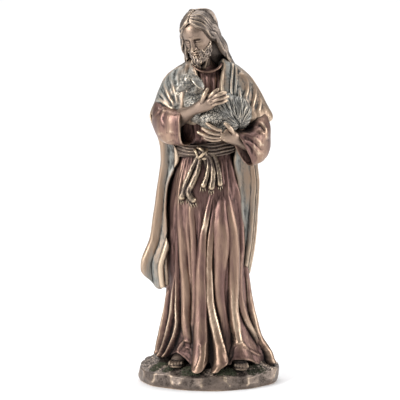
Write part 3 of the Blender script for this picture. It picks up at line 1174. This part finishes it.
NECK_RINGS = [[0, 8.5, 8.5], [0.5, 6.6, 6.8], [1, 6.6, 6.6]]
CORD_RINGS = [[0, 1.6, 1.6], [1, 1.5, 1.5]]
neck_parts = [
    limb([(-4.5, 1, 226), (-5.5, -1, 238), (-7, -4, 252)], NECK_RINGS, 48, 30),
    limb([(-12.6, -4, 250), (-9, -8, 240), (-6.6, -9.4, 232)], CORD_RINGS, 16, 24),
    limb([(0, -1, 250), (-1.6, -6.4, 240), (-4, -9, 232)], CORD_RINGS, 16, 24),
]
piece("face", grid_mesh(156, 164, skull_place), "skin_bronze", face_grain)
piece("neck", fused(neck_parts, 0.5, 8), "skin_bronze")

# %% [markdown]
# ## Beard and hair
# Cast hair is modelled in locks, not in single hairs. A lock is a limb with three grooved strands that
# twists and waves a little. The locks leave the middle parting, sweep over the temples and fall in waves to
# the shoulders. All of them are melted together with the mass under them, so narrow valleys stay between
# them, and the wash can settle there. The beard is made the same way from short, curly tufts.

# %% Beard
def strands(count, depth, phase):
    return lambda turn, share: depth * np.cos(count * turn + phase)


def jaw(turn, z, lift):
    """A point on the lower face, in the head's own frame."""
    wide, front = read(HEAD, np.maximum(z, -14.2))[:2]
    under = 1 - 0.5 * np.clip((-14.2 - z) / 5.4, 0, 1) ** 2
    return [float((wide + lift) * np.sin(turn) * under), float(-(front + lift) * np.cos(turn) * under), z]


# The beard's upper edge as [degrees from the middle, height].
CHEEK_LINE = np.array([[0, -7.8], [26, -7.6], [42, -6.8], [62, -6.0], [76, -4.4], [90, -2.5]])


def cheek_line(turn):
    return float(np.interp(abs(np.degrees(turn)), *CHEEK_LINE.T))


TUFT_ROWS = [19, 18, 17, 15, 11]
BEARD_SIDE = 82  # how far round the beard reaches, in degrees
MOUTH_HALF_TURN, MOUTH_LEVEL = 0.42, -10.6
FORWARD = (0, -1, 0.2)
beard_meshes = []
for row, count in enumerate(TUFT_ROWS):
    for k in range(count):
        share = (k + 0.5 * (row % 2)) / (count - 0.5)
        turn = np.radians(-BEARD_SIDE + 2 * BEARD_SIDE * share) + chance.uniform(-0.04, 0.04)
        high = cheek_line(turn) - 2.5 * row + chance.uniform(-0.5, 0.5)
        if abs(turn) < MOUTH_HALF_TURN and high > MOUTH_LEVEL:
            continue  # the mouth stays free
        low = max(high - chance.uniform(4.2, 5.6), -19 + 3 * abs(turn))
        bend = chance.choice([-1, 1]) * chance.uniform(0.05, 0.11)
        path = [
            jaw(turn + bend * np.sin(2.2 * i), high + (low - high) * i / 4, lift + 0.22 * row * (i > 0))
            for i, lift in enumerate([-0.7, 0.05, 0.45, 0.6, 0.35])
        ]
        thick = chance.uniform(0.75, 0.95) + 0.04 * row
        rings = [[0, 0.5 * thick, 0.5 * thick], [0.4, thick, 0.85 * thick], [0.8, 0.75 * thick, 0.7 * thick]]
        rings.append([1, 0.3, 0.3])
        beard_meshes.append(limb(on_head(path), rings, 12, 16, FORWARD, strands(3, 0.18, k), 1.6))

# The chin's curls as (x, z, how far the tip leans aside).
CHIN_CURLS = [(-2.6, -13.2, -0.9), (-0.9, -12.6, -0.3), (0.9, -12.8, 0.5), (2.6, -13.4, 0.8), (0, -15, 0.1)]
CURL_RINGS = [[0, 0.7, 0.7], [0.5, 1.15, 1.0], [1, 0.35, 0.35]]
for x, z, lean in CHIN_CURLS:
    curl = [(x, -11.6, z), (x + 0.4 * lean, -13.2, z - 1.6), (x, -13.4, z - 3.4), (x - lean, -12.4, z - 5)]
    beard_meshes.append(limb(on_head(curl), CURL_RINGS, 12, 18, FORWARD, strands(3, 0.2, x), 2))


def on_face(x, z, lift):
    wide, front = read(HEAD, z)[:2]
    return [x, -front * np.sqrt(1 - (x / wide) ** 2) - float(face_relief(x, z)) - lift, z]


# One half of the moustache: lines of points [x, z] with their thickness.
MOUSTACHE = [
    ([(0.5, -6.9), (2, -7.2), (3.7, -8.5), (4.9, -11.2)], 0.72),
    ([(0.7, -7.5), (2.1, -7.9), (3.4, -9.1), (4.3, -11.4)], 0.62),
    ([(1.6, -6.6), (3, -7.1), (4.8, -8.8), (5.8, -11.6)], 0.62),
]
for side in (-1, 1):
    for line, thick in MOUSTACHE:
        path = on_head([on_face(side * x, z, 0.1) for x, z in line])
        rings = [[0, thick * 0.7, thick * 0.6], [0.5, thick, thick * 0.85], [1, 0.3, 0.3]]
        beard_meshes.append(limb(path, rings, 12, 20, (0, -1, 0), strands(3, 0.16, 1), 1))


def hair_grain(places, normals):
    return 0.07 * grain(places * [1, 1, 0.4], 0.6, 3)


piece("beard", fused(beard_meshes, 0.26, 1), "hair_bronze", hair_grain)

# %% The hair's mass
CAP_CENTRE = np.array((0, 3.2, 5))
CAP_RADII = np.array((10.8, 11.8, 11.4))
HAIR_FALL = [
    *on_head([(0, 2, 13), (0, 4.5, 4)]),
    (-3.4, 6.5, 250), (-1, 8, 240), (0.5, 10, 231), (0.5, 13, 224),
]
FALL_RINGS = [[0, 6, 5], [0.2, 10.6, 7.6], [0.45, 11.6, 6], [0.7, 14, 4.6], [0.88, 13.4, 3.6], [1, 8, 1.6]]


def cap_place(u, v):
    turn, tilt = TAU * u, np.pi * v
    way = stack(np.sin(tilt) * np.sin(turn), -np.sin(tilt) * np.cos(turn), np.cos(tilt))
    return on_head(way * CAP_RADII + CAP_CENTRE)


def off_cap(places):
    """Lifts points that are inside the cap onto it."""
    from_centre = ((places - HEAD_CENTRE) @ HEAD_TURN - CAP_CENTRE) / CAP_RADII
    reach = np.linalg.norm(from_centre, axis=-1, keepdims=True)
    return on_head(from_centre / np.clip(reach, 1e-6, 1) * CAP_RADII + CAP_CENTRE)


# %% Locks of hair
# Three guide locks a side: beside the face, over the ear, and behind it. The others lie between them.
LEFT_GUIDES = [
    [(-14.4, -20, 269.1), (-8.8, -21.4, 266.6), (-3.7, -19.6, 263.5), (0.4, -15, 259.3), (4, -10, 254.6),
     (8.4, -5, 250), (10.4, -3, 244.4), (14.2, -1, 238.4), (17.2, 1, 233.4)],
    [(-13.3, -14.6, 272.6), (-6.8, -16.6, 272.6), (-1.2, -13.6, 268.8), (3.6, -9, 263.2),
     (7.2, -5, 257.6), (9.8, -1, 252), (11.6, 1, 246.6), (15.4, 3, 240.6), (19.4, 4, 233.4)],
    [(-9.6, -7, 273.8), (-3.2, -7, 272.8), (1, -3, 268.8), (3.8, 0, 263.4), (5.8, 3, 257.6),
     (9, 5, 252.4), (10.8, 6, 246.4), (13.6, 7, 240), (17.4, 8, 232.6)],
]
RIGHT_GUIDES = [
    [(-14.9, -20, 269), (-17.4, -19, 266.8), (-19, -16.2, 263.6), (-19.2, -13, 260), (-18.6, -10.5, 256),
     (-17.6, -9, 250.6), (-16.6, -9, 245.4), (-15.2, -9.5, 240.4)],
    [(-13.6, -14.5, 272.4), (-16.6, -13.4, 270), (-18.6, -10.5, 266.2), (-19.4, -7, 261.8),
     (-19.4, -4.5, 257), (-18.4, -3, 251.6), (-17.2, -3, 245.6), (-15.8, -2, 238.6)],
    [(-10.5, -7, 274.6), (-14, -5, 272.8), (-16.6, -1.5, 268.8), (-18, 1, 263.4), (-18, 3, 257.2),
     (-17.4, 4.5, 249.6), (-16.2, 5, 242), (-14.8, 6, 234)],
]
HAIR_AXIS = np.array((-6, 1, 250))
# Layers of locks as (locks a side, lift, thickness, wave), from the lowest up.
LAYERS = [(8, -0.2, 1.75, 0.9), (6, 1.0, 1.25, 1.3)]
BACK_LOCKS = 13


def from_axis(places):
    return (places - HAIR_AXIS) * [1, 1, 0.6]


def lock(path, thick, wave, phase, waves):
    """A wavy lock along a path: it swings aside and also in and out."""
    shares = np.linspace(0, 1, 19)
    places, along = route(path)(shares)
    outward = unit(from_axis(places))
    aside = unit(np.cross(along, outward))
    swing = wave * step(shares, 0.04, 0.3)
    places = places + aside * (swing * np.sin(TAU * waves * shares + phase))[:, None]
    places = places + outward * (0.5 * swing * np.sin(TAU * waves * shares + phase + 1.8))[:, None]
    rings = [
        [0, thick * 0.6, thick * 0.45],
        [0.15, thick * 0.95, thick * 0.75],
        [0.5, thick, thick * 0.85],
        [0.85, thick * 0.8, thick * 0.7],
        [1, 0.5, 0.4],
    ]
    return limb(off_cap(places), rings, 14, 60, from_axis, strands(3, 0.2, phase), 2.2)


hair_meshes = [grid_mesh(64, 48, cap_place), limb(HAIR_FALL, FALL_RINGS, 60, 50, (0, 1, 0))]
for guides, waves in ((RIGHT_GUIDES, 2.4), (LEFT_GUIDES, 3.4)):
    for layer, (count, lift, thick, wave) in enumerate(LAYERS):
        for k in range(count):
            between = 2 * (k + 0.5 * layer) / (count - 0.4)
            i = min(int(between), 1)
            near, far = (route(guides[j])(np.linspace(0, 1, 10))[0] for j in (i, i + 1))
            path = near + (far - near) * (between - i)
            path = path + unit(path - HAIR_AXIS) * (lift + chance.uniform(-0.2, 0.4))
            path[5:] += chance.uniform(-0.5, 0.5, 3)
            thickness = thick * chance.uniform(0.85, 1.15)
            hair_meshes.append(lock(path, thickness, wave, 0.5 * k + 1.7 * layer, waves))
for k in range(BACK_LOCKS):
    way = np.radians(-78 + 13 * k)
    across, behind = np.sin(way), np.cos(way)
    crown = on_head([(1.5 * across, 7, 17), (8 * across, 12, 12.6), (9.6 * across, 14.4 - abs(way), 3)])
    low = [
        (-3.4 + 12 * across, 6.5 + 7.4 * behind, 246),
        (-1 + 14 * across, 9 + 5.6 * behind, 234),
        (13.4 * across, 13.5 + 2 * behind, 225 + 3 * abs(np.sin(2 * way))),
    ]
    hair_meshes.append(lock([*crown, *low], 1.9, 0.9, 0.6 * k, 3))
piece("hair", fused(hair_meshes, 0.38, 1), "hair_bronze", hair_grain)

# %% [markdown]
# ## Grass
# Clumps of short grass are modelled round the feet and painted green. A blade is a cone with three sides,
# leaned over and set on the ground where a ray from above meets it.

# %% Grass
ground_tree = tree_of(base)
DOWN = (0, 0, -1)
BLADE_FOOT, BLADE_TIP = 0.3 * MM, 0.05 * MM
# Clumps as (x, y, radius, blades).
CLUMPS = [
    (-37, -20, 7, 300), (-30, -30, 4.4, 120), (-15.5, -36.6, 6, 240), (-8.6, -39.4, 3, 80),
    (9.6, -39.6, 5, 230), (16.4, -37.6, 4, 170), (36, -24, 6.4, 200), (31, -31, 3.6, 90),
    (-30, 32, 7, 200), (8, 40, 7, 200), (36, 22, 6, 170),
]
grass = bmesh.new()
for x, y, radius, blades in CLUMPS:
    for _ in range(blades):
        reach = radius * np.sqrt(chance.uniform())
        bearing = chance.uniform(0, TAU)
        away = reach * np.array((np.cos(bearing), 0.75 * np.sin(bearing)))
        hit = met(ground_tree, (x + away[0], y + away[1], 60), DOWN)
        if hit is None:
            continue
        tall = chance.uniform(0.9, 2.2) * (1.1 - 0.5 * np.linalg.norm(away) / radius)
        lean = Euler((chance.uniform(-0.7, 0.7), chance.uniform(-0.7, 0.7), chance.uniform(0, 6)))
        sunk = Matrix.Translation((0, 0, (tall / 2 - 0.3) * MM))
        bmesh.ops.create_cone(
            grass,
            cap_ends=True,
            segments=3,
            radius1=BLADE_FOOT,
            radius2=BLADE_TIP,
            depth=tall * MM,
            matrix=Matrix.Translation(hit) @ lean.to_matrix().to_4x4() @ sunk,
        )
for vertex in grass.verts:
    vertex.co -= Vector(RECENTRED) * MM
grass_mesh = bpy.data.meshes.new("grass")
grass.to_mesh(grass_mesh)
grass.free()
piece("grass", grass_mesh, "grass_green")
print("triangles in all:", sum(len(face.vertices) - 2 for made in PIECES for face in made.data.polygons))

# %% [markdown]
# ## Where the gold is rubbed and where the wash stays
# The painter's two steps depend on the form alone, so they are measured from it and kept as two values at
# each point. `wear` compares a point with a smoothed copy of its piece: above one half it stands proud and
# gets gold, below it the dark wash stays. `recess` sends out short rays and counts how many meet another
# surface within 9 mm, so the hollows between arms, folds and fingers stay dark.

# %% Measuring wear
RAYS = 10
REACH = 9 * MM
FINE, BROAD = 1.1, 4.5  # sizes of the forms that are compared, in mm


def blurred(values, edges, rounds):
    """Averages values with their neighbours' along a mesh's edges."""
    count = np.bincount(edges.ravel(), minlength=len(values)).astype(float)
    for _ in range(rounds):
        total = np.zeros_like(values)
        for column in range(values.shape[1]):
            near, far = values[edges[:, 1], column], values[edges[:, 0], column]
            total[:, column] = np.bincount(edges[:, 0], near, len(values))
            total[:, column] += np.bincount(edges[:, 1], far, len(values))
        values = 0.5 * values + 0.5 * total / count[:, None]
    return values


def edges_of(mesh):
    edges = np.empty(len(mesh.edges) * 2, np.int32)
    mesh.edges.foreach_get("vertices", edges)
    return edges.reshape(-1, 2)


def wear_of(mesh, keen):
    places, normals = points_of(mesh)
    edges = edges_of(mesh)
    length = np.linalg.norm(places[edges[:, 0]] - places[edges[:, 1]], axis=1).mean()
    proud = []
    for size in (FINE, BROAD):
        rounds = int(np.clip(2 * (size / length) ** 2, 3, 110))
        proud.append(((places - blurred(places, edges, rounds)) * normals).sum(1) / size)
    return np.clip(0.5 + keen * proud[0] + 0.3 * proud[1], 0, 1), np.clip(0.5 + proud[1], 0, 1)


# %% Measuring recess
def all_surfaces():
    shape = bmesh.new()
    for made in PIECES:
        shape.from_mesh(made.data)
    tree = BVHTree.FromBMesh(shape)
    shape.free()
    return tree


def recess_of(mesh, tree):
    places, normals = points_of(mesh)
    spread = np.random.default_rng(5)
    blocked = np.zeros(len(places))
    starts = [Vector(p) for p in ((places + normals * 0.08) * MM).tolist()]
    for _ in range(RAYS):
        ways = unit(normals + unit(spread.normal(size=places.shape)) * 0.98)
        for i, (start, way) in enumerate(zip(starts, ways.tolist())):
            distance = tree.ray_cast(start, Vector(way), REACH)[3]
            if distance is not None:
                blocked[i] += 1 - 0.6 * distance / REACH
    return blurred(blocked[:, None] / RAYS, edges_of(mesh), 3)[:, 0]


# Large folds catch the gold on their crests alone, so they are read less keenly than fine carving.
KEEN = {
    "base_rock": 2.0, "robe": 1.0, "robe_collar": 0.3, "sash_band": 0.9, "sash_tails": 1.7, "feet": 1.4,
    "lamb": 1.9, "hair": 1.3, "beard": 1.1, "face": 1.3, "mantle_right_cape": 2.0, "mantle_fall": 1.8,
}
KEEN_ELSEWHERE = 1.5
# The wash lies thicker under the hem, beard and capes, and the hands and the lamb were wiped cleaner.
SHADE = {
    "feet": 0.46, "neck": 0.3, "robe_collar": 0.18, "left_sleeve": 0.26, "sash_tails": -0.04,
    "mantle_fall": 0.14, "right_hand": -0.34, "left_hand": -0.1, "lamb": -0.04,
}
# More of the brown shows at the mantle's outer sides.
WARM = {"mantle_right_cape": 0.2, "mantle_fall": 0.1}


def shaded_robe(wear, recess, z):
    """On the robe the wash gathers low down, and the rubbing keeps to the thighs."""
    low = step(66 - z, 0, 40)
    return 0.5 + (wear - 0.5) * (1.2 - 0.5 * low), recess + 0.3 * low


surroundings = all_surfaces()
for made in PIECES:
    wear, swell = wear_of(made.data, KEEN.get(made.name, KEEN_ELSEWHERE))
    recess = np.clip(1.2 - 2.4 * wear, 0, 1) if surroundings is None else recess_of(made.data, surroundings)
    recess = recess + SHADE.get(made.name, 0)
    x, z = points_of(made.data)[0].T[[0, 2]]
    if made.name == "robe":
        wear, recess = shaded_robe(wear, recess, z)
    swell = swell + WARM.get(made.name, 0) * step(abs(x), 18, 34)
    for title, values in (("wear", wear), ("swell", swell), ("recess", recess)):
        attribute = made.data.attributes.new(title, "FLOAT", "POINT")
        attribute.data.foreach_set("value", values.astype(np.float32))
    print(made.name, "wear and recess in the middle:", np.median(wear).round(2), np.median(recess).round(2))

# %% [markdown]
# ## One bronze, seven finishes
# Every part is the same cold-cast metal, so one function builds all its finishes. It darkens the hollows,
# breaks the body colour up with cloudy noise, and lays gold on what stands proud. The gold is smoother than
# the wash, so roughness follows the same value. Only the grass is plain paint.

# %% Node helpers
def colour(red, green, blue):
    """A colour as seen on a screen, 0 to 255, in the linear values that shaders use."""
    shares = (c / 255 for c in (red, green, blue))
    return (*(c / 12.92 if c < 0.0404 else ((c + 0.055) / 1.055) ** 2.4 for c in shares), 1)


class Nodes:
    """Short calls for the nodes of one material."""

    def __init__(self, name):
        self.material = bpy.data.materials.new(name)
        self.material.use_nodes = True
        self.tree = self.material.node_tree
        self.shader = self.tree.nodes["Principled BSDF"]
        self.coordinates = self.add("TexCoord", {}, "Object")

    def feed(self, socket, value):
        """Gives a socket a plain value or the output of another node."""
        if isinstance(value, (int, float, tuple)):
            socket.default_value = value
        else:
            self.tree.links.new(value, socket)

    def add(self, kind, inputs, output, **settings):
        made = self.tree.nodes.new("ShaderNode" + kind)
        for title, setting in settings.items():
            setattr(made, title, setting)
        for key, value in inputs.items():
            self.feed(made.inputs[key], value)
        return made.outputs[output]

    def attribute(self, title):
        return self.add("Attribute", {}, "Fac", attribute_name=title)

    def noise(self, size, detail=3.0, stretch=(1, 1, 1)):
        """Noise with lumps of the given size in millimetres."""
        scale = tuple(s / (size * MM) for s in stretch)
        places = self.add("Mapping", {"Vector": self.coordinates, "Scale": scale}, "Vector")
        inputs = {"Vector": places, "Scale": 1, "Detail": detail, "Roughness": 0.55}
        return self.add("TexNoise", inputs, "Fac")

    def math(self, operation, *values):
        return self.add("Math", dict(enumerate(values)), "Value", operation=operation)

    def ramp(self, value, low, high, start=0.0, end=1.0):
        inputs = dict(enumerate((value, low, high, start, end)))
        return self.add("MapRange", inputs, "Result", interpolation_type="SMOOTHSTEP")

    def mix(self, amount, first, second, blend="MIX"):
        return self.add("Mix", {0: amount, 6: first, 7: second}, 2, data_type="RGBA", blend_type=blend)

    def bump(self, height, distance, strength):
        inputs = {"Height": height, "Distance": distance * MM, "Strength": strength}
        return self.add("Bump", inputs, "Normal")


# %% The bronze
def bronze(name, colours, gold=(0.66, 1.0), most=0.75, metal=0.85, stretch=(1, 1, 1), turns=0.62):
    """A finish. Gold starts and is full at two values of wear; the second body colour starts at turns."""
    deep, body, second, rubbed = (colour(*shade) for shade in colours)
    n = Nodes(name)
    cloud = n.noise(11, 4, stretch)
    speck = n.noise(1.2, 3, stretch)
    pores = n.noise(0.6, 2)
    recess = n.attribute("recess")
    worn = n.math("ADD", n.attribute("wear"), n.math("MULTIPLY_ADD", speck, 0.44, -0.22))
    worn = n.math("ADD", worn, n.math("MULTIPLY_ADD", cloud, 0.3, -0.15))
    swell = n.math("ADD", n.attribute("swell"), n.math("MULTIPLY_ADD", cloud, 1.2, -0.6))
    tint = n.mix(n.ramp(n.math("MULTIPLY_ADD", speck, 0.3, swell), turns, turns + 0.45), body, second)
    washed = n.mix(n.ramp(worn, 0.26, 0.56), deep, tint)
    gilded = n.mix(n.ramp(worn, *gold, 0.0, most), washed, rubbed)
    shaded = n.mix(n.ramp(recess, 0.18, 0.72, 0.0, 0.92), gilded, deep, "MULTIPLY")
    rough = n.ramp(worn, 0.3, 0.85, 0.5, 0.34)
    rough = n.math("ADD", rough, n.ramp(recess, 0.25, 0.8, 0.0, 0.3))
    rough = n.math("ADD", rough, n.math("MULTIPLY_ADD", speck, 0.2, -0.1))
    height = n.math("MULTIPLY_ADD", pores, 0.5, speck)
    n.feed(n.shader.inputs["Base Color"], shaded)
    n.feed(n.shader.inputs["Roughness"], rough)
    n.feed(n.shader.inputs["Metallic"], n.ramp(recess, 0.3, 0.85, metal, 0.3))
    n.feed(n.shader.inputs["Normal"], n.bump(height, 0.14, 0.5))
    return n.material


LONG = (1, 1, 0.2)  # streaks that run down the cloth
# Colours of the wash, the body, its second tone and the gold, then the other settings of bronze().
RECIPES = {
    "robe_bronze": (
        [(36, 26, 24), (116, 89, 83), (158, 131, 112), (224, 200, 174)], (0.72, 1.04), 0.75, 0.8, LONG,
    ),
    "mantle_verdigris": (
        [(52, 50, 47), (146, 147, 142), (154, 131, 111), (222, 200, 174)], (0.66, 1.0), 0.7, 0.55, LONG, 0.5,
    ),
    "skin_bronze": ([(48, 38, 33), (144, 125, 111), (160, 138, 120), (222, 198, 170)], (0.66, 1.0), 0.65),
    "hair_bronze": ([(42, 36, 33), (122, 111, 103), (134, 120, 109), (218, 194, 168)], (0.64, 1.0), 0.7),
    "fleece_patina": (
        [(38, 37, 35), (126, 124, 119), (140, 132, 123), (228, 216, 196)], (0.66, 1.0), 0.7, 0.6,
    ),
    "sash_bronze": ([(36, 29, 26), (100, 87, 79), (120, 105, 93), (216, 194, 164)], (0.64, 0.96), 0.72),
    "rock_bronze": ([(44, 37, 33), (116, 104, 96), (144, 127, 114), (220, 198, 172)], (0.62, 0.95), 0.8),
}
finishes = {name: bronze(name, *recipe) for name, recipe in RECIPES.items()}

# %% Painted grass
paint = Nodes("grass_green")
patches = paint.noise(4, 3)
tone = paint.mix(paint.ramp(patches, 0.35, 0.7), colour(7, 15, 8), colour(22, 34, 17))
tipped = paint.mix(paint.ramp(paint.attribute("wear"), 0.6, 0.95), tone, colour(66, 70, 48))
paint.feed(paint.shader.inputs["Base Color"], tipped)
paint.feed(paint.shader.inputs["Roughness"], paint.ramp(patches, 0.3, 0.7, 0.5, 0.7))
paint.feed(paint.shader.inputs["Normal"], paint.bump(paint.noise(0.5, 2), 0.1, 0.4))
finishes["grass_green"] = paint.material

for made in PIECES:
    made.data.materials.append(finishes[made["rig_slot"]])
print("finishes:", ", ".join(finishes))

# %% [markdown]
# ## Studio
# The figurine stands on a plain pale floor in soft white light. A lamp in front on the left models the
# folds, a weaker one on the right fills them, and a broad one above and behind rims the shoulders and lights
# the floor. The camera looks down a little through a long lens, so upright edges stay parallel.

# %% Floor and lights
bpy.ops.mesh.primitive_plane_add(size=14)
floor = bpy.context.object
floor.name = "studio_floor"
pale = Nodes("pale_floor")
pale.shader.inputs["Base Color"].default_value = (0.92, 0.92, 0.93, 1)
pale.shader.inputs["Roughness"].default_value = 0.7
floor.data.materials.append(pale.material)

world = bpy.data.worlds.new("soft_room")
world.use_nodes = True
world.node_tree.nodes["Background"].inputs["Color"].default_value = (1, 1, 1, 1)
world.node_tree.nodes["Background"].inputs["Strength"].default_value = 0.3
bpy.context.scene.world = world
MIDDLE = Vector((0, 0, 0.14))


def lamp(name, place, size, power):
    light = bpy.data.lights.new(name, "AREA")
    light.size = size
    light.energy = power
    made = bpy.data.objects.new(name, light)
    made.location = place
    made.rotation_euler = (Vector(place) - MIDDLE).to_track_quat("Z", "Y").to_euler()
    bpy.context.collection.objects.link(made)


lamp("softbox_left", (-1.1, -0.7, 0.75), 0.9, 22)
lamp("softbox_right", (1.2, -0.1, 0.5), 0.7, 9)
lamp("softbox_above", (0, 1.3, 2.4), 3.2, 76)

# %% Camera
ELEVATION = np.radians(10)
AIM = Vector((-0.00663, 0.0229, 0.1299))
DISTANCE = 4.913
camera = bpy.data.objects.new("camera", bpy.data.cameras.new("camera"))
back = Vector((0, -np.cos(ELEVATION), np.sin(ELEVATION)))
camera.location = AIM + back * DISTANCE
camera.rotation_euler = back.to_track_quat("Z", "Y").to_euler()
camera.data.lens = 600
camera.data.clip_end = 100
bpy.context.collection.objects.link(camera)
bpy.context.scene.camera = camera
bpy.context.scene.view_settings.view_transform = "Standard"
